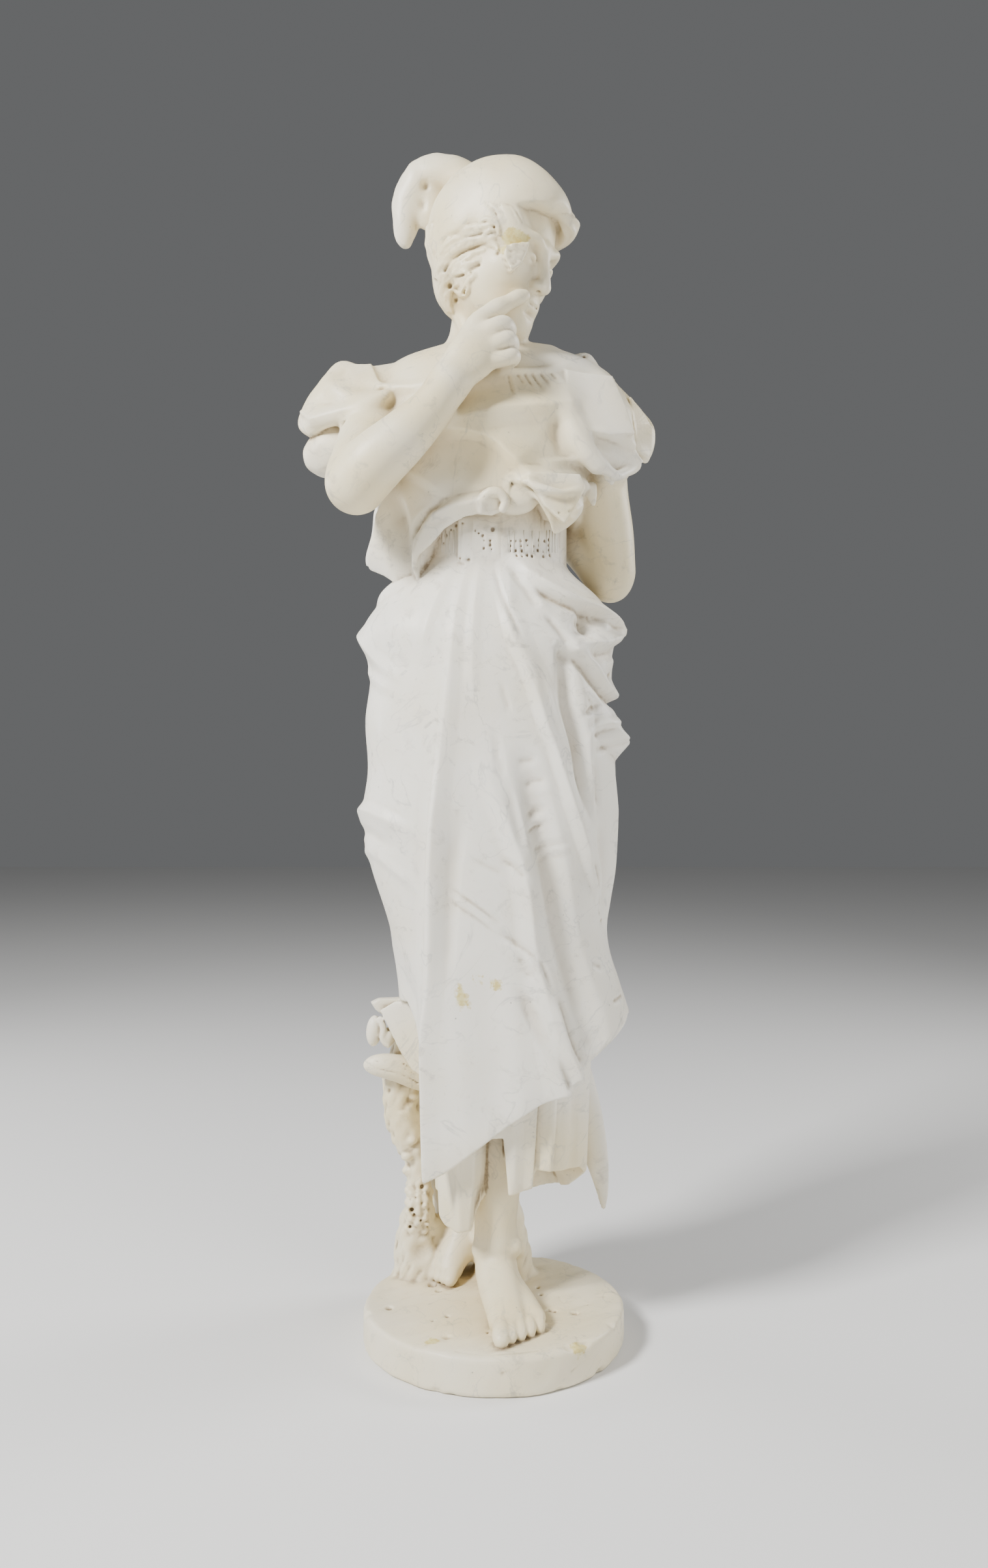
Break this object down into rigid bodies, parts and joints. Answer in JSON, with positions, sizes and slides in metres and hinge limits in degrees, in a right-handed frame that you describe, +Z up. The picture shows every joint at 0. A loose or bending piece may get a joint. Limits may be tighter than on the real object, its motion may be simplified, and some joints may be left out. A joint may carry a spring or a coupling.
{
  "type": "classical marble statue",
  "caption": "Carved marble statue of a standing barefoot girl in a cap, loose blouse and tucked-up apron, hand to chin, with a stump behind her, on a low round base.",
  "frame": {"origin": "centre of the flat underside of the round base", "axes": "+Z up out of the base, along the figure's height; the figure's front faces -Y"},
  "size_m": [0.2985, 0.22, 0.9997],
  "materials": {
    "marble": "satin"
  },
  "bodies": {
    "root": {"statue": "marble"}
  },
  "joints": []
}
